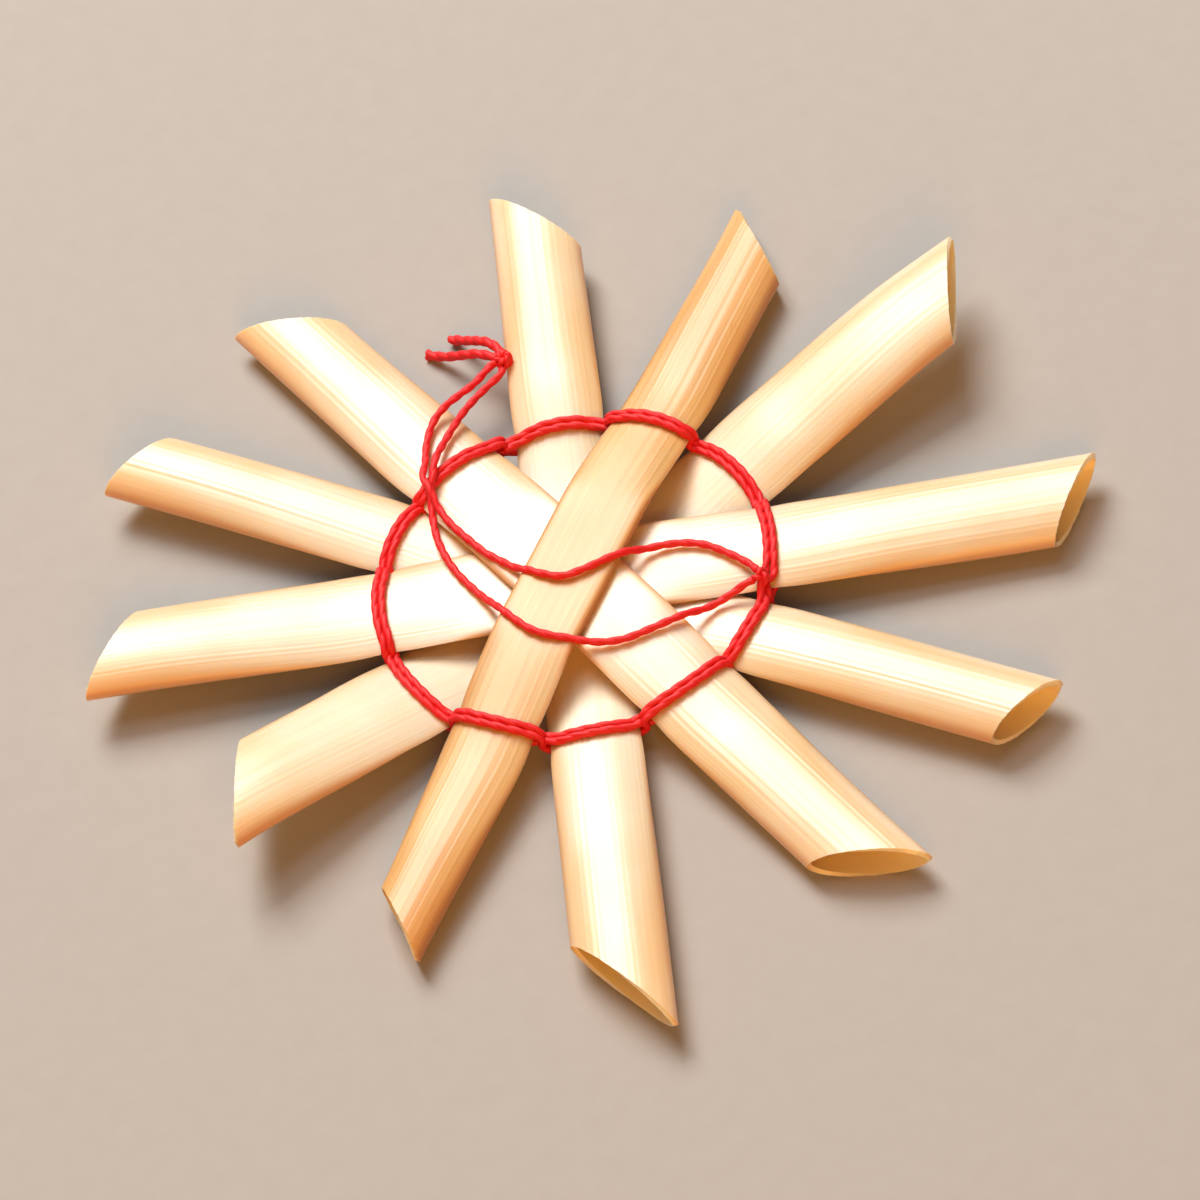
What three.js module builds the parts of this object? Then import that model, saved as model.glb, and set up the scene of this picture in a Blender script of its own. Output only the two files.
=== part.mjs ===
import * as THREE from "three";

// A straw star: two crosses of three pressed straws each, one laid on the other, bound by a red
// thread woven over and under their arms. The thread's two ends are tied into the hanging loop.
// The star lies flat, in millimetres, with its origin at the middle of its underside and +Z up.

// The straws. Each is a thin tube, pressed flat in the middle and open at both slanting ends.
const WALL = 0.2;
const FOLD = 0.35; // the hollow stops this far short of each folded edge
const PRESSED = 0.3; // half the thickness where a straw is pressed flat
const OPEN = 1.35; // half the thickness at its open ends
const FLAT_REACH = 4.5; // the flat middle runs this far each way from the centre
const OPEN_REACH = 27; // the straw is fully open from here out
const LAYER = 2 * PRESSED + 0.06; // from one straw to the next in the stack at the centre
const MID_LEVEL = 1.95; // the height at which all the straws come together
const LEVEL_REACH = 16; // how far out they have done so
const TIP_REACH = 28; // how far out the upper cross comes down to the surface below
const STATIONS = [FLAT_REACH, 7, 9.5, 11, 12, 13, 16, 20]; // sections along half a straw
const SIDES = 10;

// One row for each straw, from the top of the stack down. "aside" is how far its middle line
// passes from the centre. The left side of each end, seen from the centre, is cut longer than the
// right: "cut" is by how much, "reach" is its middle, and "flare" is half width gained on the way.
const STRAWS = [
  { name: "upper_straw_1", bearing: 52.4, halfWidth: 2.7, aside: 0, tone: "#cf9348",
    ends: [{ reach: 27.3, cut: 4.6, lift: 0, flare: -0.2 },
      { reach: 26.2, cut: 4.2, lift: 0, flare: -0.5 }] },
  { name: "upper_straw_2", bearing: -66.1, halfWidth: 3, aside: -0.4, tone: "#e9c78e",
    ends: [{ reach: 29.2, cut: 5, lift: 0, flare: -0.15 },
      { reach: 29.1, cut: 4.3, lift: 0, flare: -0.2 }] },
  { name: "upper_straw_3", bearing: -10.2, halfWidth: 3.25, aside: 0, tone: "#e6bf82",
    ends: [{ reach: 30.4, cut: 3, lift: 0.3, flare: -0.1 },
      { reach: 28.4, cut: 3.6, lift: 1, flare: -0.1 }] },
  { name: "lower_straw_1", bearing: -40, halfWidth: 2.7, aside: -0.45, tone: "#ebca94",
    ends: [{ reach: 30.5, cut: 2.2, lift: 0.4, flare: 0 },
      { reach: 30, cut: 2.4, lift: 0.8, flare: -0.1 }] },
  { name: "lower_straw_2", bearing: 81.7, halfWidth: 2.82, aside: 0, tone: "#efd3a2",
    ends: [{ reach: 28.5, cut: 5, lift: 0.8, flare: -0.15 },
      { reach: 30.8, cut: 7.2, lift: 0.4, flare: 0.1 }] },
  { name: "lower_straw_3", bearing: 22.6, halfWidth: 3.48, aside: 0.25, tone: "#e4bb7c",
    ends: [{ reach: 29.3, cut: 5, lift: 2.5, flare: 0.05 },
      { reach: 24.7, cut: 5, lift: 2.6, flare: 0 }] },
];

// The thread
const THREAD = 0.45;
const RING = 12; // radius of the woven ring
const ROUNDS = 4; // the inner two go over the lower cross, the outer two over the upper cross
const LANE = THREAD + 0.05; // from one round to the next
const PINCH = 0.6; // how far the ring draws in each edge of a straw
const PINCH_REACH = 11.5; // where it does so most
const PINCH_LENGTH = 1.5;
const CLEAR = 0.06; // between the thread and a straw
const RING_SIDES = 6;
const CORD_SIDES = 8;
const RED = "#c8141c";

// The hanging loop lies across the star: the two strands leave the ring knot, cross in the notch
// on the far side and meet in the loop knot, whose two cut ends hang down to the surface below.
const RING_KNOT = { at: [10.6, -4.95, 3.1], radii: [0.62, 0.62, 0.42] };
const LOOP_KNOT = { at: [-0.2, 18, 2.68], radii: [0.62, 0.62, 0.5] };
const STRAND_STEPS = 34;
const CUT_END_STEPS = 7;
const STRANDS = {
  loop_strand_1: [
    [10.35, -4, 3.1], [9.8, -3.1, 3.02], [9, -2.1, 2.96], [8, -1.1, 2.94], [6.9, -0.5, 2.94],
    [5.7, -0.2, 2.98], [4.5, -0.2, 3.15], [3.4, -0.45, 3.76], [2.3, -0.75, 4.08], [0.8, -1.1, 4.22],
    [-0.7, -1.15, 4.22], [-1.7, -0.55, 4.18], [-2.6, 0.3, 4.02], [-3.3, 1.1, 3.65],
    [-4, 2.1, 3.46], [-4.7, 3.1, 3.35], [-5.3, 4.3, 3.26], [-5.9, 5.6, 3.16], [-6.35, 6.8, 3.06],
    [-6.65, 7.9, 3.2], [-6.8, 9, 3.64], [-6.98, 10.2, 3.56], [-6.6, 11.4, 3.3],
    [-6.35, 12.5, 3.12], [-5.95, 13.6, 3.05], [-5.3, 14.7, 3.05], [-4.4, 15.6, 2.95],
    [-3.4, 16.25, 2.8], [-2.4, 16.8, 2.7], [-1.65, 17.4, 2.65], [-1.05, 17.85, 2.65],
  ],
  loop_strand_2: [
    [9.65, -5.05, 3.05], [8.7, -5.2, 2.75], [7.6, -5.45, 2.58], [6.6, -5.75, 2.78],
    [5.7, -6, 3.18], [4.6, -6.3, 3.4], [3.2, -6.55, 3.48], [1.7, -6.7, 3.52], [0.4, -6.5, 3.6],
    [-0.6, -6.15, 3.78], [-1.5, -5.7, 3.98], [-2.6, -5.1, 4.14], [-3.5, -4.3, 4.18],
    [-4.2, -3.2, 4.14], [-4.75, -2.1, 4.02], [-5.2, -1, 3.55], [-5.65, 0.1, 3.1],
    [-6.15, 1.3, 2.9], [-6.6, 2.4, 2.86], [-6.95, 3.6, 2.8], [-7.15, 4.8, 2.66],
    [-7.25, 6, 2.54], [-7.2, 7.2, 2.56], [-7.05, 8.2, 2.74], [-6.8, 9.2, 3.1],
    [-6.34, 10.2, 3.54], [-5.95, 11.2, 3.6], [-5.5, 12.1, 3.3], [-4.9, 13, 3.1],
    [-4.3, 13.8, 2.98], [-3.7, 14.6, 2.8], [-3.1, 15.3, 2.62], [-2.3, 16, 2.52],
    [-1.4, 16.6, 2.5], [-0.6, 17.15, 2.5],
  ],
};
const CUT_ENDS = {
  cut_end_1: [
    [-0.85, 18.6, 2.6], [-1.6, 19.4, 2.3], [-2.6, 20.3, 1.6], [-3.6, 21.3, 0.8], [-4.6, 22.3, 0.3],
  ],
  cut_end_2: [
    [-0.3, 18.95, 2.6], [-0.8, 20, 2.35], [-1.5, 21, 1.7], [-2.2, 22, 0.9], [-2.9, 22.9, 0.3],
  ],
};

const smoothstep = THREE.MathUtils.smoothstep;
const radians = THREE.MathUtils.degToRad;

function halfWidth(straw, end, r) {
  const pinch = PINCH * Math.exp(-(((r - PINCH_REACH) / PINCH_LENGTH) ** 2));
  return straw.halfWidth + end.flare * smoothstep(r, RING, OPEN_REACH) - pinch;
}

function halfThickness(r) {
  return PRESSED + (OPEN - PRESSED) * smoothstep(r, FLAT_REACH, OPEN_REACH);
}

// Height of a straw's middle: stacked at the centre, level by the ring, then down or up to its tip.
function level(straw, end, r) {
  const stacked = PRESSED + (STRAWS.length - 1 - STRAWS.indexOf(straw)) * LAYER;
  const tip = OPEN + end.lift;
  const apart = 1 - smoothstep(r, FLAT_REACH, LEVEL_REACH);
  const out = smoothstep(r, RING, TIP_REACH);
  return MID_LEVEL + (stacked - MID_LEVEL) * apart + (tip - MID_LEVEL) * out;
}

function circle(radius, sides) {
  const corner = (_, k) => new THREE.Vector2(1, 0)
    .rotateAround(new THREE.Vector2(), (k / sides) * 2 * Math.PI)
    .multiplyScalar(radius);
  return Array.from({ length: sides }, corner);
}

// A section is a lens with a flat crown, from folded edge (u = -1) to folded edge (u = 1).
const CROWN = Math.sin(radians(72)) ** 2;
const crown = (u) => Math.min(1, (1 - u * u) / CROWN);

// A ring of unit section is extruded in unit steps, and each of its points is then moved to its
// place on the straw: X along it, Y across it and Z up.
function strawGeometry(straw) {
  const section = new THREE.Shape(circle(1, SIDES));
  section.holes.push(new THREE.Path(circle(0.5, SIDES)));
  const half = STATIONS.length + 1;
  const steps = 2 * half - 1;
  const tube = new THREE.ExtrudeGeometry(section, { depth: steps, steps, bevelEnabled: false });
  const points = tube.getAttribute("position");
  for (let i = 0; i < points.count; i++) {
    const radius = Math.hypot(points.getX(i), points.getY(i));
    const outer = radius > 0.75;
    const u = points.getX(i) / radius;
    const station = Math.round(points.getZ(i));
    const side = station < half ? -1 : 1;
    const end = straw.ends[side > 0 ? 0 : 1];
    const place = side > 0 ? station - half : half - 1 - station;
    const tip = end.reach + (side * u * end.cut) / 2;
    const r = place < STATIONS.length ? STATIONS[place] : tip;
    const width = halfWidth(straw, end, r) - (outer ? 0 : FOLD);
    const thickness = halfThickness(r) - (outer ? 0 : WALL);
    const height = Math.sign(points.getY(i)) * thickness * (Math.abs(u) < 0.999 ? crown(u) : 0);
    points.setXYZ(i, side * r, straw.aside + u * width, level(straw, end, r) + height);
  }
  tube.computeVertexNormals();
  return tube;
}

// The twelve arms, clockwise from the top of the star as it lies.
const ARMS = STRAWS.flatMap((straw) => straw.ends.map((end, n) => ({
  straw,
  end,
  upper: straw.name.startsWith("upper"),
  aside: n === 0 ? straw.aside : -straw.aside,
  angle: THREE.MathUtils.euclideanModulo(straw.bearing + 180 * n, 360),
}))).sort((a, b) => b.angle - a.angle);

// A point of the woven thread across an arm, at u of its width and "side" (1 over it, -1 under it).
function acrossArm(arm, radius, u, side) {
  const across = arm.aside + u * halfWidth(arm.straw, arm.end, radius);
  const along = Math.sqrt(radius ** 2 - across ** 2);
  const lifted = halfThickness(along) * crown(u) + THREAD / 2 + CLEAR;
  const height = level(arm.straw, arm.end, along) + side * lifted;
  return new THREE.Vector3(along, across, height)
    .applyAxisAngle(new THREE.Vector3(0, 0, 1), radians(arm.angle));
}

// The middle of the gap between an arm and the next one clockwise, at a radius and height.
function inNotch(arm, next, radius, height) {
  const turn = radians(THREE.MathUtils.euclideanModulo(arm.angle - next.angle, 360));
  const nearEdge = Math.asin((halfWidth(arm.straw, arm.end, radius) - arm.aside) / radius);
  const farEdge = turn - Math.asin((halfWidth(next.straw, next.end, radius) + next.aside) / radius);
  const angle = radians(arm.angle) - (nearEdge + farEdge) / 2;
  return new THREE.Vector3(radius * Math.cos(angle), radius * Math.sin(angle), height);
}

// The binding thread starts and ends in the notch after this arm, where its ring knot is tied.
const KNOT_ARM = ARMS.findIndex((arm) => arm.straw.name === "upper_straw_3" && arm.angle > 180);
const DIP = 0.1; // share of a notch's fall that the thread makes before it turns down

function bindingPoints() {
  const points = [];
  const passes = ROUNDS * ARMS.length;
  const over = (pass) => {
    const inner = Math.floor(pass / ARMS.length) < ROUNDS / 2;
    return ARMS[(KNOT_ARM + 1 + pass) % ARMS.length].upper === inner ? -1 : 1;
  };
  for (let pass = 0; pass < passes; pass++) {
    const round = Math.floor(pass / ARMS.length);
    const arm = ARMS[(KNOT_ARM + 1 + pass) % ARMS.length];
    const next = ARMS[(KNOT_ARM + 2 + pass) % ARMS.length];
    const beside = (round % 2 ? 0.5 : -0.5) * LANE;
    const lane = (round - (ROUNDS - 1) / 2) * LANE;
    for (const u of [0.85, 0.35, -0.35, -0.85])
      points.push(acrossArm(arm, RING + beside, u, over(pass)));
    if (pass === passes - 1) break;
    const changing = (pass + 1) % ARMS.length === 0;
    const shift = lane + (changing ? LANE / 2 : 0);
    const from = points.at(-1).z;
    const to = acrossArm(next, RING + beside, 0.85, over(pass + 1)).z;
    for (const share of [DIP, 1 - DIP])
      points.push(inNotch(arm, next, RING + shift, THREE.MathUtils.lerp(from, to, share)));
  }
  return points;
}

// A path with a step at each of its points.
class BindingPath extends THREE.CatmullRomCurve3 {
  getUtoTmapping(u) {
    return u;
  }
}

function threadGeometry(extrudePath, sides, steps) {
  const section = new THREE.Shape(circle(THREAD / 2, sides));
  return new THREE.ExtrudeGeometry(section, { steps, extrudePath });
}

const red = new THREE.MeshStandardMaterial({ color: RED, roughness: 0.85, metalness: 0 });

function addPiece(name, geometry, material = red) {
  const piece = new THREE.Mesh(geometry, material);
  piece.name = name;
  star.add(piece);
  return piece;
}

const star = new THREE.Group();
for (const straw of STRAWS) {
  const finish = { color: straw.tone, roughness: 0.42, metalness: 0 };
  const piece = addPiece(straw.name, strawGeometry(straw), new THREE.MeshStandardMaterial(finish));
  piece.rotation.z = radians(straw.bearing);
}

const woven = bindingPoints();
const binding = new BindingPath(woven, false, "centripetal");
addPiece("binding_thread", threadGeometry(binding, RING_SIDES, woven.length - 1));

for (const [name, knot] of Object.entries({ ring_knot: RING_KNOT, loop_knot: LOOP_KNOT })) {
  const piece = addPiece(name, new THREE.IcosahedronGeometry(1, 1).scale(...knot.radii));
  piece.position.set(...knot.at);
}

const threads = [[STRANDS, STRAND_STEPS], [CUT_ENDS, CUT_END_STEPS]];
for (const [routes, steps] of threads)
  for (const [name, route] of Object.entries(routes)) {
    const path = new THREE.CatmullRomCurve3(route.map((point) => new THREE.Vector3(...point)));
    addPiece(name, threadGeometry(path, CORD_SIDES, steps));
  }

export default star;
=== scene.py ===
# %% [markdown]
# # A star of pressed straws bound with red thread
#
# The real star is made by hand. Six rye straws are cut off between their knots, soaked, pressed
# flat in the middle, and cut slantwise at both ends, where they stay open. They lie in
# two crosses of three, one on the other, and a red cotton thread woven over and under the twelve
# arms holds them. Its two ends are tied into a loop for hanging.
#
# The imported model gives every piece its place and size, so it is loaded first.

# %% Load the imported model
import math
import random

import bmesh
import bpy
from mathutils import Matrix, Quaternion, Vector


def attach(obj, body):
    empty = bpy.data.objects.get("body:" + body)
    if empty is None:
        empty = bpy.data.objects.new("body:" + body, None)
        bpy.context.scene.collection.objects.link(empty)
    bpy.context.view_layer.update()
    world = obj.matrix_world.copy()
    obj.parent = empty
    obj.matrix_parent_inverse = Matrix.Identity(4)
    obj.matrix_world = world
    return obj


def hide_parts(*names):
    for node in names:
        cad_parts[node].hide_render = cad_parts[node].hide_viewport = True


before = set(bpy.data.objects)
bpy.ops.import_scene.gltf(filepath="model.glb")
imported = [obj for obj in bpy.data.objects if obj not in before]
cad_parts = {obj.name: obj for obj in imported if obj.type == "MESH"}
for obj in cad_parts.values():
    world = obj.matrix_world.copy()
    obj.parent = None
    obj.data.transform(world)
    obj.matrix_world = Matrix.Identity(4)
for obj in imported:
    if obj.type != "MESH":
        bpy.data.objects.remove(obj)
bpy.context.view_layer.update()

MM = 0.001
print("nodes:", ", ".join(sorted(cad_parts)))

# %% [markdown]
# ## The camera
#
# A small thing seen from an arm's length away through a long lens shows almost no perspective.
# The camera could stand close with a short lens, but the near straws would then look larger than
# the far ones. It looks down on the star at 50 degrees, from the side where the hanging loop's
# ring knot is at the right, and it is held a little crooked, so the picture turns with it.

# %% Aim the camera
LOOK_DOWN = math.radians(50)
TILT = math.radians(-17.5)
DISTANCE = 770 * MM
FIELD = 72 * MM  # how much of the star's plane the picture is wide


def aim_camera(middle):
    lens = bpy.data.cameras.new("long_lens")
    lens.lens = lens.sensor_width * DISTANCE / FIELD
    camera = bpy.data.objects.new("camera", lens)
    bpy.context.scene.collection.objects.link(camera)
    back = Vector((0, -math.cos(LOOK_DOWN), math.sin(LOOK_DOWN)))
    level = (-back).to_track_quat("-Z", "Y")
    camera.rotation_mode = "QUATERNION"
    camera.rotation_quaternion = level @ Quaternion((0, 0, 1), TILT)
    camera.location = middle + back * DISTANCE
    bpy.context.scene.camera = camera
    return camera


camera = aim_camera(Vector((1.0, -1.9, 1.9)) * MM)
print("lens in mm:", round(camera.data.lens))

# %% [markdown]
# ## Paths for the thread
#
# A thread follows a smooth line through a few points. A Bezier curve with a round bevel would
# draw a plain wire. A real thread is two plies twisted round each other, so each ply is a tube of
# its own that winds round the path. The path is walked in even steps, and a pair of directions
# square to it is carried along without turning, to wind the plies round.

# %% Walk along a smooth path
THREAD = 0.45 * MM  # diameter, as it is drawn tight
SLACK = 1.1  # a thread that isn't pulled is this much thicker
STEP = 0.12 * MM  # from one ring of a tube to the next
FINE = 16  # straight bits between two points of a route, from which the even steps are taken


def blended(points, k, t):
    """A point of the smooth line from points[k] to the next, t of the way along."""
    b, c = points[k], points[k + 1]
    a = points[k - 1] if k else b + (b - c)
    d = points[k + 2] if k + 2 < len(points) else c + (c - b)
    before, between, after = ((q - p).length ** 0.5 for p, q in ((a, b), (b, c), (c, d)))
    leave = (b - a) / before - (c - a) / (before + between) + (c - b) / between
    arrive = (c - b) / between - (d - b) / (between + after) + (d - c) / after
    leave, arrive = leave * between, arrive * between
    return (
        b
        + leave * t
        + (3 * (c - b) - 2 * leave - arrive) * t**2
        + (2 * (b - c) + leave + arrive) * t**3
    )


def walk(points, step=STEP):
    """The smooth line through the points, as points an even step apart."""
    fine = [blended(points, k, t / FINE) for k in range(len(points) - 1) for t in range(FINE)]
    fine.append(points[-1])
    reached = [0.0]
    for p, q in zip(fine, fine[1:]):
        reached.append(reached[-1] + (q - p).length)
    count = max(2, round(reached[-1] / step))
    path, k = [], 0
    for n in range(count + 1):
        want = reached[-1] * n / count
        while k < len(fine) - 2 and reached[k + 1] < want:
            k += 1
        share = (want - reached[k]) / max(reached[k + 1] - reached[k], 1e-12)
        path.append(fine[k].lerp(fine[k + 1], share))
    return path


def length_of(path):
    return sum((q - p).length for p, q in zip(path, path[1:]))


def sides_of(path):
    """Two directions square to the path at each of its points, carried along without turning."""
    ahead = [(path[min(n + 1, len(path) - 1)] - path[max(n - 1, 0)]).normalized()
             for n in range(len(path))]
    side = ahead[0].orthogonal().normalized()
    pairs = []
    for way in ahead:
        side = (side - way * side.dot(way)).normalized()
        pairs.append((side.copy(), way.cross(side)))
    return pairs


# %% [markdown]
# ## From a unit tube to a piece
#
# A thread's ply and a straw's wall are both long tubes. One operator makes a short tube and
# another cuts its long edges into as many rings as the piece needs. Each ring is then moved to its
# place, so the faces, their order and the closed ends come from the operators.

# %% Make a tube with many rings
def unit_tube(shell, sides, rings, radius=1.0, capped=False):
    """A tube along Z from -0.5 to 0.5, added to the shell. Gives its vertices."""
    known = len(shell.verts)
    bmesh.ops.create_cone(
        shell, cap_ends=capped, segments=sides, radius1=radius, radius2=radius, depth=1
    )
    # every edge made before is far shorter than 1
    long_edges = [e for e in shell.edges if abs(e.verts[0].co.z - e.verts[1].co.z) > 0.99]
    bmesh.ops.subdivide_edges(shell, edges=long_edges, cuts=rings - 1)
    return list(shell.verts)[known:]


def finished_piece(name, shell, finish, body="root"):
    """Turns the bmesh into an object at the origin that rides on the star."""
    mesh = bpy.data.meshes.new(name)
    shell.to_mesh(mesh)
    shell.free()
    mesh.materials.append(finish)
    piece = bpy.data.objects.new(name, mesh)
    bpy.context.scene.collection.objects.link(piece)
    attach(piece, body)
    return piece


# %% [markdown]
# ## How the thread is spun
#
# Mercerised cotton thread for this work is about 0.45 mm thick: two plies, wound round each other
# once in about 2 mm. The plies press deep into each other where they touch, so the thread looks
# nearly smooth, with a shallow groove winding round it. A vector stored on each vertex unrolls a
# ply, with the fibres wound the other way round it, and the cotton's material reads it.

# %% Spin two plies along a path
TWIST = 2.1 * MM  # along the thread, for one turn of a ply
FIBRE_TWIST = -3.2 * MM  # along a ply, for one turn of its fibres
PLY_SIDES = 12
PLY, ORBIT = 0.4, 0.1  # radius of a ply, and of its winding, as shares of the diameter
FRAY = 1.1 * MM  # how far from its tip a cut end's plies begin to part
BLUNT = 0.7  # a ply's first and last ring are this much narrower, so its ends look soft


def spin_thread(path, diameter=THREAD * SLACK, spread=0.0, shell=None):
    """Two plies wound round the path. With spread they come apart towards the end."""
    shell = shell or bmesh.new()
    vectors = shell.verts.layers.float_vector
    fibre = vectors.get("fibre") or vectors.new("fibre")
    rings, total, pairs = len(path) - 1, length_of(path), sides_of(path)
    ply, orbit = diameter * PLY, diameter * ORBIT
    for half_turn in (0, math.pi):
        for vertex in unit_tube(shell, PLY_SIDES, rings, capped=True):
            n = round((vertex.co.z + 0.5) * rings)
            around = math.atan2(vertex.co.y, vertex.co.x)
            along = total * n / rings
            turn = 2 * math.pi * along / TWIST + half_turn
            apart = 1 + spread * max(0, 1 - (total - along) / FRAY) ** 2
            taper = 1 if 0 < n < rings else BLUNT
            side, up = pairs[n]
            vertex.co = (
                path[n]
                + (side * math.cos(turn) + up * math.sin(turn)) * orbit * apart
                + (side * math.cos(around) + up * math.sin(around)) * ply * taper
            )
            lay = around + 2 * math.pi * along / FIBRE_TWIST
            vertex[fibre] = (math.cos(lay) * ply, math.sin(lay) * ply, along)
    for face in shell.faces:
        face.smooth = True
    return shell


# %% [markdown]
# ## Materials from small parts
#
# Colours are written as the hex values that a paint chart or a screen shows, and one function
# turns them to the linear values that the renderer works in. One more adds a node, with its
# settings and whatever goes into its sockets.

# %% Colour and node helpers
def linear(hex_colour, alpha=1.0):
    parts = (int(hex_colour[k : k + 2], 16) / 255 for k in (1, 3, 5))
    return (*(p / 12.92 if p <= 0.04045 else ((p + 0.055) / 1.055) ** 2.4 for p in parts), alpha)


def add_node(tree, kind, inputs=None, **settings):
    node = tree.nodes.new(kind)
    for name, value in settings.items():
        setattr(node, name, value)
    for socket, value in (inputs or {}).items():
        if isinstance(value, bpy.types.NodeSocket):
            tree.links.new(value, node.inputs[socket])
        else:
            node.inputs[socket].default_value = value
    return node


def new_finish(name):
    """An empty material, and its node tree."""
    finish = bpy.data.materials.new(name)
    finish.use_nodes = True
    finish.node_tree.nodes.clear()
    return finish, finish.node_tree


# %% [markdown]
# ## Red cotton
#
# The thread is mercerised cotton, dyed a clear red. Mercerising swells the fibres and gives them
# a soft shine, so it isn't as matt as wool: roughness 0.6 and only a trace of sheen. Fibres of
# about 0.02 mm would be too fine to show, so the streaks are drawn 0.06 mm apart, and they follow
# the twist of each ply. Broad patches of an even red break them up.

# %% Dye the thread
FIBRE_GAP, FIBRE_RUN = 0.06 * MM, 0.7 * MM  # between streaks, and along one
PATCH = 5 * MM


def mercerised_cotton():
    finish, tree = new_finish("mercerised_red_cotton")
    lay = add_node(tree, "ShaderNodeAttribute", attribute_name="fibre")
    across, along = 1 / FIBRE_GAP, 1 / FIBRE_RUN
    stretched = add_node(
        tree, "ShaderNodeMapping", {0: lay.outputs["Vector"], 3: (across, across, along)}
    )
    streaks = add_node(
        tree,
        "ShaderNodeTexNoise",
        {"Vector": stretched.outputs[0], "Scale": 1.0, "Detail": 3.0, "Roughness": 0.6},
    )
    place = add_node(tree, "ShaderNodeTexCoord")
    patches = add_node(
        tree, "ShaderNodeTexNoise", {"Vector": place.outputs["Object"], "Scale": 1 / PATCH, "Detail": 2.0}
    )
    dye = add_node(
        tree,
        "ShaderNodeMix",
        {0: streaks.outputs[0], 6: linear("#c0000a"), 7: linear("#f80c0e")},
        data_type="RGBA",
    )
    patchy = add_node(
        tree,
        "ShaderNodeMix",
        {0: patches.outputs[0], 6: linear("#e00810"), 7: dye.outputs[2]},
        data_type="RGBA",
    )
    relief = add_node(
        tree,
        "ShaderNodeBump",
        {"Strength": 0.6, "Distance": 0.02 * MM, "Height": streaks.outputs[0]},
    )
    cotton = add_node(
        tree,
        "ShaderNodeBsdfPrincipled",
        {
            "Base Color": patchy.outputs[2],
            "Roughness": 0.6,
            "IOR": 1.53,
            "Sheen Weight": 0.05,
            "Sheen Roughness": 0.4,
            "Sheen Tint": linear("#ff3c30"),
            "Normal": relief.outputs[0],
        },
    )
    add_node(tree, "ShaderNodeOutputMaterial", {"Surface": cotton.outputs[0]})
    return finish


red_cotton = mercerised_cotton()
print(red_cotton.name, "is made of", len(red_cotton.node_tree.nodes), "nodes")

# %% [markdown]
# ## The hanging loop
#
# The loop's two strands lie across the star: they leave the ring knot, part, meet again where
# they cross the far side of the ring, and end in the loop knot. They rest on the straws all the
# way, so their routes rise and fall with the straws below them. The first and last points are in
# the knots.

# %% Lay the two strands
def route(points):
    return [Vector(point) * MM for point in points]


RING_KNOT = Vector((10.6, -4.95, 3.1)) * MM
LOOP_KNOT = Vector((-0.2, 18, 2.68)) * MM
STRANDS = {
    "loop_strand_1": route([
        (10.5, -4.45, 3.1), (10.35, -4, 3.1), (9.8, -3.1, 3.02), (9, -2.1, 2.96), (8, -1.1, 2.94),
        (6.9, -0.5, 2.94), (5.7, -0.2, 2.98), (4.5, -0.2, 3.15), (3.4, -0.45, 3.76),
        (2.3, -0.75, 4.08), (0.8, -1.1, 4.22), (-0.7, -1.15, 4.22), (-1.7, -0.55, 4.18),
        (-2.6, 0.3, 4.02), (-3.3, 1.1, 3.65), (-4, 2.1, 3.46), (-4.7, 3.1, 3.35),
        (-5.3, 4.3, 3.26), (-5.9, 5.6, 3.16), (-6.35, 6.8, 3.06), (-6.65, 7.9, 3.2),
        (-6.8, 9, 3.64), (-6.98, 10.2, 3.56), (-6.6, 11.4, 3.3), (-6.35, 12.5, 3.12),
        (-5.95, 13.6, 3.05), (-5.3, 14.7, 3.05), (-4.4, 15.6, 2.95), (-3.4, 16.25, 2.8),
        (-2.4, 16.8, 2.7), (-1.65, 17.4, 2.65), (-1.05, 17.85, 2.65), (-0.6, 17.98, 2.67),
    ]),
    "loop_strand_2": route([
        (10.2, -4.98, 3.08), (9.65, -5.05, 3.05), (8.7, -5.2, 2.75), (7.6, -5.45, 2.58),
        (6.6, -5.75, 2.78), (5.7, -6, 3.18), (4.6, -6.3, 3.4), (3.2, -6.55, 3.48),
        (1.7, -6.7, 3.52), (0.4, -6.5, 3.6), (-0.6, -6.15, 3.78), (-1.5, -5.7, 3.98),
        (-2.6, -5.1, 4.14), (-3.5, -4.3, 4.18), (-4.2, -3.2, 4.14), (-4.75, -2.1, 4.02),
        (-5.2, -1, 3.55), (-5.65, 0.1, 3.1), (-6.15, 1.3, 2.9), (-6.6, 2.4, 2.86),
        (-6.95, 3.6, 2.8), (-7.15, 4.8, 2.66), (-7.25, 6, 2.54), (-7.2, 7.2, 2.56),
        (-7.05, 8.2, 2.74), (-6.8, 9.2, 3.1), (-6.34, 10.2, 3.54), (-5.95, 11.2, 3.6),
        (-5.5, 12.1, 3.3), (-4.9, 13, 3.1), (-4.3, 13.8, 2.98), (-3.7, 14.6, 2.8),
        (-3.1, 15.3, 2.62), (-2.3, 16, 2.52), (-1.4, 16.6, 2.5), (-0.6, 17.15, 2.5),
        (-0.35, 17.6, 2.6),
    ]),
}
CUT_ENDS = {
    "cut_end_1": route([
        (-0.5, 18.25, 2.65), (-0.85, 18.6, 2.6), (-1.6, 19.4, 2.3), (-2.6, 20.3, 1.6),
        (-3.6, 21.3, 0.8), (-4.6, 22.3, 0.3),
    ]),
    "cut_end_2": route([
        (-0.25, 18.4, 2.66), (-0.3, 18.95, 2.6), (-0.8, 20, 2.35), (-1.5, 21, 1.7),
        (-2.2, 22, 0.9), (-2.9, 22.9, 0.3),
    ]),
}
strand_paths, strand_pieces = {}, {}
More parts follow.
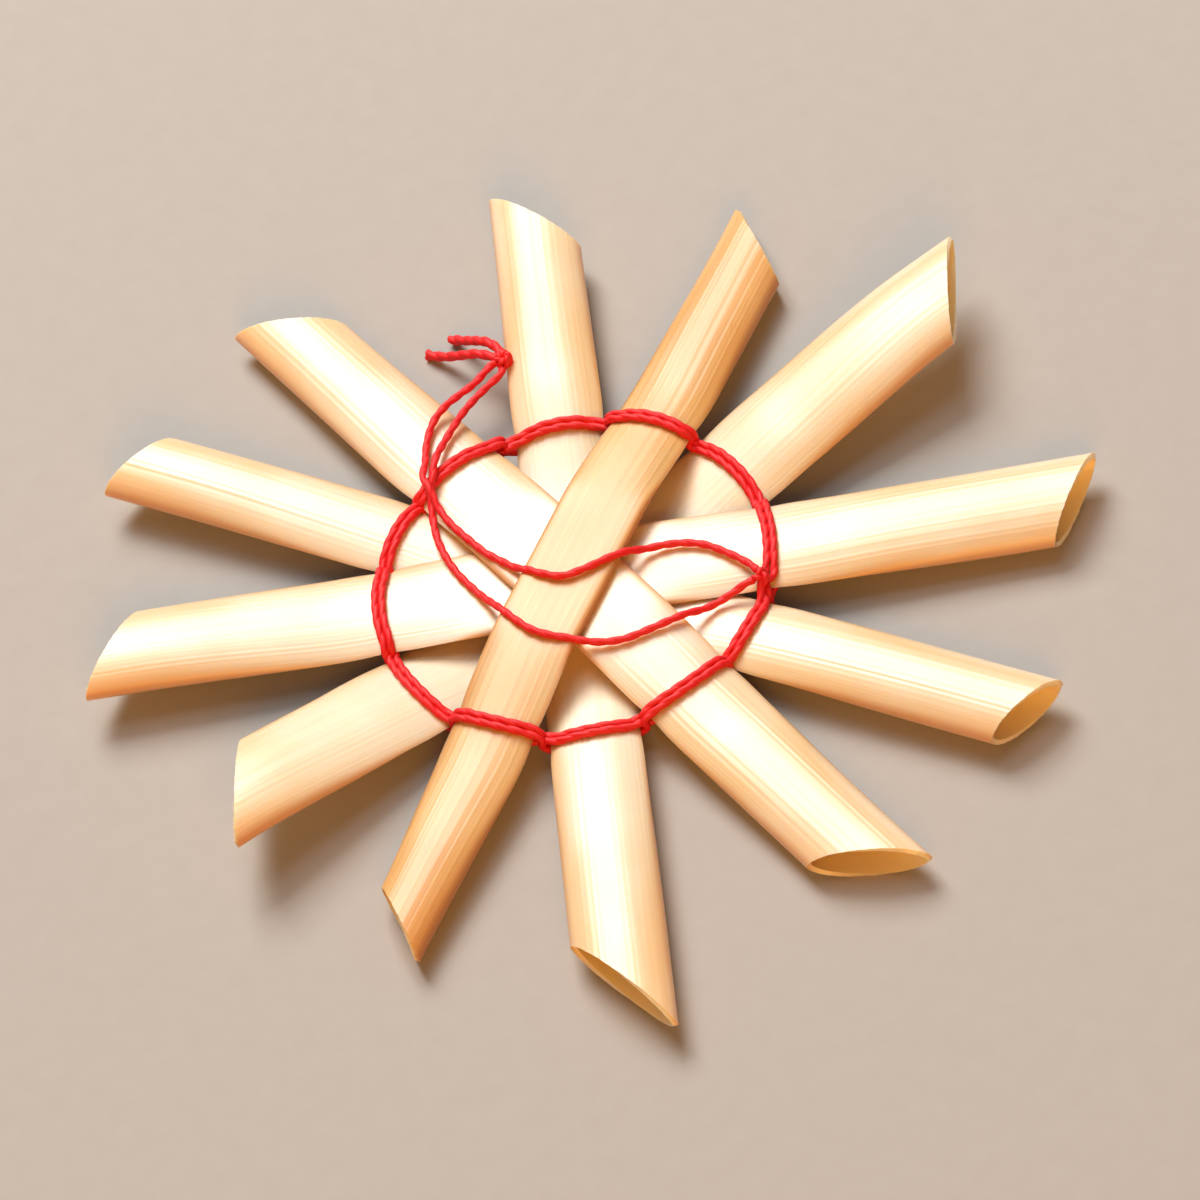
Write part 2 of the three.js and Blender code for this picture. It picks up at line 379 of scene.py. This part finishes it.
for node, points in STRANDS.items():
    path = walk(points)
    piece = finished_piece(f"spun_{node}", spin_thread(path), red_cotton)
    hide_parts(node)
    strand_paths[node], strand_pieces[node] = path, piece
    print(node, "is", round(length_of(path) / MM, 1), "mm long")

# %% [markdown]
# ## The cut ends
#
# Past the loop knot the thread was snipped off with a few millimetres to spare. The twist loosens
# towards a cut, so these ends are thicker, and the two plies part at the tips.

# %% Lay the cut ends
LOOSENED = 1.4  # how much thicker a loosened end is
PARTED = 1.3  # how much further apart its plies are at the tip

for node, points in CUT_ENDS.items():
    path = walk(points)
    piece = finished_piece(f"frayed_{node}", spin_thread(path, THREAD * LOOSENED, PARTED), red_cotton)
    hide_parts(node)
    print(node, "is", round(length_of(path) / MM, 1), "mm long")

# %% [markdown]
# ## The two knots
#
# Each knot is an overhand knot pulled tight, which follows a trefoil. A lump of any other shape
# would hide that, so the thread is spun along a real trefoil, squeezed a little thinner by the
# pull. The loop knot ties two strands at once, so it has a second trefoil turned between the
# lobes of the first.

# %% Tie the knots
PULLED = 0.36 * MM  # the thread's diameter inside a tight knot
LOBE = 0.44 * MM  # from a knot's middle to the far side of a lobe
KNOT_STEP = 0.08 * MM


def trefoil(middle, height, turn, count=48):
    """An open trefoil path, the two threads at its crossings height apart."""
    points = []
    for k in range(1, count):
        t = 2 * math.pi * k / count
        flat = Vector((math.sin(t) + 2 * math.sin(2 * t), math.cos(t) - 2 * math.cos(2 * t), 0))
        lifted = flat * LOBE / 3 - Vector((0, 0, math.sin(3 * t) * height / 2))
        points.append(middle + Matrix.Rotation(turn, 3, "Z") @ lifted)
    return points


def tie_knot(node, middle, turns, height):
    """A knot of one trefoil for each turn about Z, all with their crossings height apart."""
    shell = bmesh.new()
    for turn in turns:
        spin_thread(walk(trefoil(middle, height, turn), KNOT_STEP), PULLED, shell=shell)
    piece = finished_piece(f"tied_{node}", shell, red_cotton)
    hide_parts(node)
    print(piece.name, "has", len(piece.data.polygons), "faces")
    return piece


tie_knot("ring_knot", RING_KNOT, turns=[0.4], height=0.46 * MM)
loop_knot = tie_knot("loop_knot", LOOP_KNOT, turns=[0.2, 0.2 + math.pi / 3], height=0.56 * MM)

# %% [markdown]
# Each strand leaves the ring knot, lies loose, and ends in the loop knot. Its real length is given,
# and how far its path differs from it is printed.

LENGTHS = {"loop_strand_1": 37.8 * MM, "loop_strand_2": 40.4 * MM}
for node, piece in strand_pieces.items():
    slack = length_of(strand_paths[node]) - LENGTHS[node]
    print(node, "differs from its real length by", round(slack / MM, 2), "mm")

# %% [markdown]
# ## The shape of a straw
#
# A straw changes along its length. At the centre of the star it is pressed flat, with tight folds
# at both edges. It opens towards its ends to an almond, because the folds stay. The numbers here
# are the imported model's, in millimetres: how wide and thick a straw is at a distance r from the
# centre, and how high its middle lies. The straws are stacked at the centre and level by the ring.
# Only the waist by the ring is shallower here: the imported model's makes room for a stiff thread,
# and this thread gives.

# %% Measures of a straw
# bearing in degrees, half width, how far it passes aside from the centre, and for each end its
# reach, the slant of its cut, how far it is lifted and how much half width it gains on the way
STRAWS = {
    "upper_straw_1": (52.4, 2.7, 0.0, ((27.3, 4.6, 0.0, -0.2), (26.2, 4.2, 0.0, -0.5))),
    "upper_straw_2": (-66.1, 3.0, -0.4, ((29.2, 5.0, 0.0, -0.15), (29.1, 4.3, 0.0, -0.2))),
    "upper_straw_3": (-10.2, 3.25, 0.0, ((30.4, 3.0, 0.3, -0.1), (28.4, 3.6, 1.0, -0.1))),
    "lower_straw_1": (-40.0, 2.7, -0.45, ((30.5, 2.2, 0.4, 0.0), (30.0, 2.4, 0.8, -0.1))),
    "lower_straw_2": (81.7, 2.82, 0.0, ((28.5, 5.0, 0.8, -0.15), (30.8, 7.2, 0.4, 0.1))),
    "lower_straw_3": (22.6, 3.48, 0.25, ((29.3, 5.0, 2.5, 0.05), (24.7, 5.0, 2.6, 0.0))),
}
WALL, FOLD = 0.2, 0.35  # how thick the wall is, and how wide the solid fold at each edge
PRESSED, OPEN = 0.3, 1.35  # half the thickness at the centre and at a tip
FLAT_REACH, OPEN_REACH = 4.5, 27  # where it starts to open, and where it is fully open
RING = 12  # radius of the ring of thread
PINCH, PINCH_REACH, PINCH_LENGTH = 0.1, 11.8, 1.2  # depth, place and length of the waist there
LAYER = 0.66  # from one straw to the next in the stack
MID_LEVEL, LEVEL_REACH = 1.95, 16  # the height that all the straws come to, and how far out
TIP_REACH = 28  # how far out a straw has come to the height of its tip


def ease(x, low, high):
    t = min(max((x - low) / (high - low), 0), 1)
    return t * t * (3 - 2 * t)


def half_width(name, end, r):
    pinch = PINCH * math.exp(-(((r - PINCH_REACH) / PINCH_LENGTH) ** 2))
    flare = STRAWS[name][3][end][3]
    return STRAWS[name][1] + flare * ease(r, RING, OPEN_REACH) - pinch


def half_thickness(r):
    return PRESSED + (OPEN - PRESSED) * ease(r, FLAT_REACH, OPEN_REACH)


def middle_height(name, end, r):
    stacked = PRESSED + (len(STRAWS) - 1 - list(STRAWS).index(name)) * LAYER
    apart = 1 - ease(r, FLAT_REACH, LEVEL_REACH)
    tip = OPEN + STRAWS[name][3][end][2]
    out = ease(r, RING, TIP_REACH)
    return MID_LEVEL + (stacked - MID_LEVEL) * apart + (tip - MID_LEVEL) * out


# %% [markdown]
# Across a straw, u runs from one fold at -1 to the other at 1. Where it is pressed, it is flat
# nearly to the folds; where it opens, it is a full arch with a little of the fold left.

# %% The arch across a straw
PARTS, FULL = (5.0, 8.0), (12.6, 20)  # where the pressed straw parts into a lens, and that into an arch


def arch(u, r):
    """Height above the middle at u, as a share of half the thickness."""
    u = min(abs(u), 1)
    flat, full = 1 - ease(r, *PARTS), ease(r, *FULL)
    pressed = (1 - u**10) ** 0.5
    lens = 1 - u**2.4
    opened = (1 - u**2.3) ** 0.62
    return flat * pressed + full * opened + (1 - flat - full) * lens


print("half thickness in mm:", [round(half_thickness(r), 2) for r in (0, 6, 12, 20, 28)])

# %% [markdown]
# ## Fibres and creases
#
# A stalk is ribbed lengthwise by its fibres, a few tenths of a millimetre apart, and pressing
# leaves a crease or two that fade along the straw. Both stand in the surface, so they catch the
# light as the real ones do. The ribs are a sum of waves round the straw with fixed random
# phases, and each crease is a narrow dip at one place on the arch.

# %% Ribs and creases
RIB_HEIGHT = 0.009  # of the surface above and below its mean, in mm
CREASE_WIDTH, CREASE_GROWS = 0.06, 14  # radians round the straw, and millimetres along it
SMOOTHED = (4, 14)  # pressing leaves half of the relief at the first, and all of it at the second


def ribbing(dice):
    """A function of the turn round a straw and the place along it, about -1 to 1."""
    waves = [(dice.randint(22, 76), dice.uniform(0, 6.28), dice.uniform(-0.03, 0.03)) for _ in range(12)]
    return lambda turn, x: sum(math.cos(n * turn + phase + drift * x) for n, phase, drift in waves) / 4


def creasing(dice):
    """Depth in millimetres of a straw's creases at a turn round it and a place along it."""
    # each one's place on the arch, where it is full grown, at which end, and how deep
    creases = [
        (dice.uniform(0.9, 2.2) * way, dice.uniform(14, 22), dice.choice((-1, 1)), dice.uniform(0.008, 0.02))
        for way in (1, 1, -1)
    ]

    def depth(turn, x):
        total = 0.0
        for place, grown, side, deep in creases:
            gap = (turn - place + math.pi) % (2 * math.pi) - math.pi
            if abs(gap) < 4 * CREASE_WIDTH:
                here = ease(side * x, grown - CREASE_GROWS, grown)
                total += deep * math.exp(-((gap / CREASE_WIDTH) ** 2)) * here
        return total

    return depth


def relief_of(dice):
    """A straw's ribs and creases in millimetres, at a turn round it and a place along it."""
    ribs, crease = ribbing(dice), creasing(dice)

    def relief(turn, x):
        off_the_folds = 1 - math.cos(turn) ** 6
        left_by_pressing = 0.5 + 0.5 * ease(abs(x), *SMOOTHED)
        return (RIB_HEIGHT * ribs(turn, x) - crease(turn, x)) * off_the_folds * left_by_pressing

    return relief


sample = relief_of(random.Random("sample"))
depths = [sample(k / 20, 20) for k in range(63)]
print("relief over a crown in mm:", round(min(depths), 3), "to", round(max(depths), 3))

# %% [markdown]
# ## Shaping a straw
#
# Two tubes, one in the other, are bridged at their ends to make a wall with a sharp cut rim. Then
# every ring is moved to its place along the straw. A Solidify modifier would also give the wall,
# but not a hollow that closes to a slit at the folds. The slant of a cut is spread over the whole
# arm, so the rings lean more and more towards it. The left side of each end, seen from the
# centre, is the longer one, and the scissors leave the rim slightly uneven.

# %% A tube with a wall
SIDES, RINGS = 168, 132  # round a straw, and along it
HOLLOW = 0.5  # radius of the inner tube; the outer one's is 1


def add_walled_tube(shell):
    unit_tube(shell, SIDES, RINGS)
    outer_faces = set(shell.faces)
    unit_tube(shell, SIDES, RINGS, radius=HOLLOW)
    bmesh.ops.reverse_faces(shell, faces=[f for f in shell.faces if f not in outer_faces])
    for end in (-0.5, 0.5):
        rim = [e for e in shell.edges if all(abs(v.co.z - end) < 1e-5 for v in e.verts)]
        bmesh.ops.bridge_loops(shell, edges=rim)
        for edge in rim:
            edge.smooth = False


# %% [markdown]
# Two functions say where a ring's points go. The cut gives how far from the centre the straw ends
# at each turn round it, and the wall gives how far across and how high it stands there. Towards
# its tip each straw also rolls over a little, because no two are pressed quite alike.

# %% Places on a straw
RIM_WANDER = 0.02  # how far the scissors stray, in mm
TIP_ROLL, ROLLS = math.radians(4), (15, 28)  # the most it rolls, and where it begins and ends


def cut_reach(name, end, turn):
    """How far from the centre an end's slanting cut is."""
    bearing, ends = STRAWS[name][0], STRAWS[name][3]
    reach, cut = ends[end][:2]
    side = -1 if end else 1
    uneven = RIM_WANDER * math.sin(9 * turn + bearing) * math.sin(23 * turn)
    return reach + side * math.cos(turn) * cut / 2 + uneven


def wall_place(name, end, r, turn, hollow, detail, roll):
    """How far across a straw its wall is, and how high, with the detail added to its thickness."""
    u = math.cos(turn)
    width = half_width(name, end, r) - (FOLD if hollow else 0)
    rise = (half_thickness(r) - (WALL if hollow else 0)) * arch(u, r) + detail
    rise = math.copysign(rise, math.sin(turn)) if abs(math.sin(turn)) > 1e-6 else 0
    lean = roll * ease(r, *ROLLS)
    across = u * width * math.cos(lean) - rise * math.sin(lean)
    up = u * width * math.sin(lean) + rise * math.cos(lean)
    return across, max(middle_height(name, end, r) + up, 0)


# %% [markdown]
# With those, shaping a straw is one walk over its points. Each point also gets the values that the
# straw's material reads: the straw unrolled, as a vector, how near a fold it is, where the material
# paints shade, and whether it is inside.

# %% Shape a straw
UNROLLED = 2 * MM  # radius of the round stem that the fibres are drawn on


def shape_straw(name):
    bearing, _, aside, ends = STRAWS[name]
    dice = random.Random(name)
    relief = relief_of(dice)
    rolls = [dice.uniform(-TIP_ROLL, TIP_ROLL) for _ in ends]
    shell = bmesh.new()
    fibre = shell.verts.layers.float_vector.new("fibre")
    fold_shade_mask = shell.verts.layers.float.new("fold_shade_mask")
    inside = shell.verts.layers.float.new("inside")
    add_walled_tube(shell)
    for vertex in shell.verts:
        hollow = vertex.co.xy.length < (1 + HOLLOW) / 2
        turn = math.atan2(vertex.co.y, vertex.co.x)
        side, end = (1, 0) if vertex.co.z >= 0 else (-1, 1)
        r = 2 * abs(vertex.co.z) * cut_reach(name, end, turn)
        detail = 0 if hollow else relief(turn, side * r)
        across, height = wall_place(name, end, r, turn, hollow, detail, rolls[end])
        vertex.co = (side * r, aside + across, height)
        vertex[fibre] = (side * r * MM, math.cos(turn) * UNROLLED, math.sin(turn) * UNROLLED)
        # painted shade: the material browns the straw by this, towards both folds, where its sides turn from
        # the light
        vertex[fold_shade_mask] = abs(math.cos(turn)) ** 8
        vertex[inside] = 1.0 if hollow else 0.0
    for face in shell.faces:
        face.smooth = True
    place = Matrix.Rotation(math.radians(bearing), 4, "Z") @ Matrix.Scale(MM, 4)
    bmesh.ops.transform(shell, matrix=place, verts=shell.verts)
    return shell


# %% [markdown]
# ## Straw
#
# Rye straw is a smooth stalk with a coat of wax and a satin shine: IOR 1.5 and roughness near 0.4.
# Its colour is streaked along the fibres, from ivory to straw yellow, and pale inside, where the pith
# is. Towards both folds it is browner: that is painted shade, for the sides that turn from the
# light. It lets some warm light through. The streaks are stretched noise on the vector that unrolls
# a straw: fine ones 0.2 mm apart, as the fibres are, broad ones 1 mm apart, and slow changes 4 mm
# apart. One straw is an older, honey-coloured one, which has lost most of its wax.

# %% Straw finishes
STREAKS = ((0.2, 9), (1.0, 30), (4, 12))  # across and along the straw, in mm


def satin_straw(name, light, mid, streak, fold_shade_colour, pith, wax):
    """Straw from its palest colour to its darkest, the painted shade at its folds, the colour inside, and
    how much wax it has.
    """
    finish, tree = new_finish(name)
    unrolled = add_node(tree, "ShaderNodeAttribute", attribute_name="fibre")
    painted_fold_shade = add_node(tree, "ShaderNodeAttribute", attribute_name="fold_shade_mask").outputs["Fac"]
    hollow = add_node(tree, "ShaderNodeAttribute", attribute_name="inside").outputs["Fac"]
    fibres = []
    for spacing, run in STREAKS:
        across, along = 1 / (spacing * MM), 1 / (run * MM)
        stretched = add_node(
            tree, "ShaderNodeMapping", {0: unrolled.outputs["Vector"], 3: (along, across, across)}
        )
        noise = add_node(
            tree,
            "ShaderNodeTexNoise",
            {"Vector": stretched.outputs[0], "Scale": 1.0, "Detail": 2.0, "Roughness": 0.55},
        )
        fibres.append(noise.outputs[0])
    fine, broad, drift = fibres
    colour = linear(light)
    layers = (  # each colour shows where its mask rises from low to high
        (drift, 0.35, 0.7, 0.9, mid),
        (broad, 0.5, 0.8, 0.3, streak),
        (fine, 0.45, 0.8, 0.18, streak),
        # painted shade, browner towards both folds, where the sides turn from the light
        (painted_fold_shade, 0.2, 1.0, 0.6, fold_shade_colour),
        (hollow, 0.0, 1.0, 1.0, pith),
    )
    for mask, low, high, most, tint in layers:
        share = add_node(
            tree,
            "ShaderNodeMapRange",
            {0: mask, 1: low, 2: high, 3: 0.0, 4: most},
            interpolation_type="SMOOTHSTEP",
        )
        mixed = add_node(
            tree,
            "ShaderNodeMix",
            {0: share.outputs[0], 6: colour, 7: linear(tint)},
            data_type="RGBA",
        )
        colour = mixed.outputs[2]
    relief = add_node(
        tree, "ShaderNodeBump", {"Strength": 0.4, "Distance": 0.02 * MM, "Height": fine}
    )
    satin = add_node(
        tree,
        "ShaderNodeBsdfPrincipled",
        {
            "Base Color": colour,
            "Roughness": 0.45,
            "IOR": 1.5,
            "Subsurface Weight": 0.5,
            "Subsurface Radius": (1.0, 0.6, 0.25),
            "Subsurface Scale": 1.0 * MM,
            "Coat Weight": wax,
            "Coat Roughness": 0.37,
            "Normal": relief.outputs[0],
        },
    )
    add_node(tree, "ShaderNodeOutputMaterial", {"Surface": satin.outputs[0]})
    return finish


# In each straw the colour towards the folds is painted shade, for the sides that turn from the light.
ivory_straw = satin_straw(
    "rye_straw_ivory",
    light="#fbdbb8",
    mid="#f2c48e",
    streak="#dda054",
    fold_shade_colour="#c07a2c",
    pith="#ffdeb0",
    wax=1.0,
)
honey_straw = satin_straw(
    "rye_straw_honey",
    light="#ebb678",
    mid="#dba058",
    streak="#b67838",
    fold_shade_colour="#8c4f18",
    pith="#f8ce98",
    wax=0.35,
)
print(ivory_straw.name, "is made of", len(ivory_straw.node_tree.nodes), "nodes")

# %% [markdown]
# Now the six straws can be made. The one on top of the stack is the old, honey-coloured one.

# %% Make the straws
for name in STRAWS:
    old = name == "upper_straw_1"
    piece = finished_piece(f"rye_{name}", shape_straw(name), honey_straw if old else ivory_straw)
    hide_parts(name)
    print(piece.name, "has", len(piece.data.polygons), "faces")

# %% [markdown]
# ## The woven ring
#
# One thread goes round four times, over one cross and under the other, and changes over for the
# last two rounds, so each arm has two rounds over it and two under it. The route is worked out
# from the straws' own measures: two points on each half of an arm, and two in each notch between
# arms, where the thread goes from over to under and the four rounds are squeezed together. It
# starts and ends in the ring knot. First come the twelve arms, in the order that the thread
# meets them.

# %% List the arms
arms = sorted(
    (
        {
            "name": name,
            "end": end,
            "upper": name.startswith("upper"),
            "aside": -aside if end else aside,
            "angle": (bearing + 180 * end) % 360,
        }
        for name, (bearing, _, aside, _) in STRAWS.items()
        for end in (0, 1)
    ),
    key=lambda arm: -arm["angle"],
)
print("arms, clockwise:", ", ".join(f"{arm['name']} at {arm['angle']:.0f}" for arm in arms))


def is_knot_arm(arm):
    """Whether it is the arm that the ring knot lies beside."""
    return arm["name"] == "upper_straw_3" and arm["angle"] > 180


# %% [markdown]
# Over or under an arm, the middle of the thread stays its own radius and a hair's breadth away
# from the straw. In a notch it passes through the middle of the gap.

# %% Points of the ring
CLEAR = 0.02  # between the thread and a straw


def across_arm(arm, radius, u, side):
    """A point of the ring at u across an arm, over it (side 1) or under it (side -1)."""
    across = arm["aside"] + u * half_width(arm["name"], arm["end"], radius)
    along = math.sqrt(radius**2 - across**2)
    lifted = half_thickness(along) * arch(u, along) + THREAD * SLACK / MM / 2 + CLEAR
    height = middle_height(arm["name"], arm["end"], along) + side * lifted
    return Matrix.Rotation(math.radians(arm["angle"]), 3, "Z") @ Vector((along, across, height))


def in_notch(arm, following, radius, height):
    """A point in the middle of the gap between an arm and the next one clockwise."""
    turn = math.radians((arm["angle"] - following["angle"]) % 360)
    right = half_width(arm["name"], arm["end"], radius) - arm["aside"]
    left = half_width(following["name"], following["end"], radius) + following["aside"]
    near, far = math.asin(right / radius), turn - math.asin(left / radius)
    angle = math.radians(arm["angle"]) - (near + far) / 2
    return Vector((radius * math.cos(angle), radius * math.sin(angle), height))


# %% [markdown]
# The route steps from arm to arm, four rounds of twelve. The two rounds over an arm lie side by
# side, and so do the two under it. In a notch, two threads go down where two come up, so there
# each of the four has a lane of its own.

# %% Lay the ring
ROUNDS = 4
SIDE_BY_SIDE = 0.43  # between two rounds on an arm
LANES_IN_NOTCH, PACKED = (0, 2, 1, 3), 0.2  # each round's lane there, and between two lanes
ON_ARM = (0.85, 0.35, -0.35, -0.85)  # across an arm, as shares of half its width
DIP = 0.25  # how much of its way down or up the thread has gone when it enters a notch


def ring_route():
    """Points from the ring knot, round the arms, and back to it, in millimetres."""
    first = next(k for k, arm in enumerate(arms) if is_knot_arm(arm))
    points, passes = [RING_KNOT / MM], ROUNDS * len(arms)
    for number in range(passes):
        lap, next_lap = number // len(arms), (number + 1) // len(arms)
        arm, following = (arms[(first + 1 + number + k) % len(arms)] for k in (0, 1))
        side = -1 if arm["upper"] == (lap < ROUNDS / 2) else 1
        next_side = -1 if following["upper"] == (next_lap < ROUNDS / 2) else 1
        beside = RING + (0.5 if lap % 2 else -0.5) * SIDE_BY_SIDE
        lanes = [LANES_IN_NOTCH[n % ROUNDS] for n in (lap, next_lap)]
        lane = RING + (sum(lanes) / 2 - (ROUNDS - 1) / 2) * PACKED
        points += [across_arm(arm, beside, u, side) for u in ON_ARM]
        if number == passes - 1:
            return [*points, RING_KNOT / MM]
        start, stop = points[-1].z, across_arm(following, beside, ON_ARM[0], next_side).z
        for share in (DIP, 1 - DIP):
            points.append(in_notch(arm, following, lane, start + (stop - start) * share))


ring_path = walk([point * MM for point in ring_route()])
ring_piece = finished_piece("woven_ring", spin_thread(ring_path), red_cotton)
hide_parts("binding_thread")
print("thread in the ring:", round(length_of(ring_path) / MM), "mm")

# %% [markdown]
# ## Floor and light
#
# A plain pale floor under three soft lights, each like one in a room. The window stands beyond the
# star, so it shines back off the waxy crowns and leaves the near flanks in shade. The skylight is
# nearly overhead and weaker, and whitens the crowns further down. The room lamp is warm and stands
# lower, in front: it turns those flanks golden and reaches into the hollow ends. A faint pale sky
# fills the rest. The Standard view transform keeps the colours as clear as they are written.

# %% Studio
FLOOR_REACH = 2.0  # metres from the star to the floor's edges
CARD_GRAIN = 1.5 * MM


def lay_floor():
    slab = bmesh.new()
    bmesh.ops.create_grid(slab, x_segments=1, y_segments=1, size=FLOOR_REACH)
    mesh = bpy.data.meshes.new("studio_floor")
    slab.to_mesh(mesh)
    slab.free()
    finish, tree = new_finish("matt_card")
    place = add_node(tree, "ShaderNodeTexCoord").outputs["Object"]
    grain = add_node(
        tree, "ShaderNodeTexNoise", {"Vector": place, "Scale": 1 / CARD_GRAIN, "Detail": 4.0}
    ).outputs[0]
    shade = add_node(
        tree, "ShaderNodeMix", {0: grain, 6: linear("#a8a39c"), 7: linear("#aeaaa3")}, data_type="RGBA"
    ).outputs[2]
    card = add_node(tree, "ShaderNodeBsdfPrincipled", {"Base Color": shade, "Roughness": 0.9})
    add_node(tree, "ShaderNodeOutputMaterial", {"Surface": card.outputs[0]})
    mesh.materials.append(finish)
    floor = bpy.data.objects.new("studio_floor", mesh)
    bpy.context.scene.collection.objects.link(floor)


def hang_light(name, azimuth, elevation, distance, size, watts, colour):
    """A square soft light aimed at the star. Azimuth is counted from +X towards +Y."""
    lamp = bpy.data.lights.new(name, "AREA")
    lamp.size, lamp.energy, lamp.color = size, watts, linear(colour)[:3]
    a, e = math.radians(azimuth), math.radians(elevation)
    way = Vector((math.cos(a) * math.cos(e), math.sin(a) * math.cos(e), math.sin(e)))
    holder = bpy.data.objects.new(name, lamp)
    holder.rotation_mode = "QUATERNION"
    holder.location = way * distance
    holder.rotation_quaternion = (-way).to_track_quat("-Z", "Y")
    bpy.context.scene.collection.objects.link(holder)


lay_floor()
hang_light("window", azimuth=97, elevation=48, distance=0.7, size=0.36, watts=6.0, colour="#fffcfa")
hang_light("skylight", azimuth=90, elevation=76, distance=0.9, size=0.5, watts=2.2, colour="#f8f8ff")
hang_light("room_lamp", azimuth=266, elevation=30, distance=0.8, size=0.4, watts=3.8, colour="#ffac40")
sky = bpy.data.worlds.new("pale_sky")
sky.use_nodes = True
sky.node_tree.nodes["Background"].inputs["Color"].default_value = linear("#f4efe6")
sky.node_tree.nodes["Background"].inputs["Strength"].default_value = 0.16
bpy.context.scene.world = sky
bpy.context.scene.view_settings.view_transform = "Standard"
print("lights:", ", ".join(sorted(lamp.name for lamp in bpy.data.lights)))
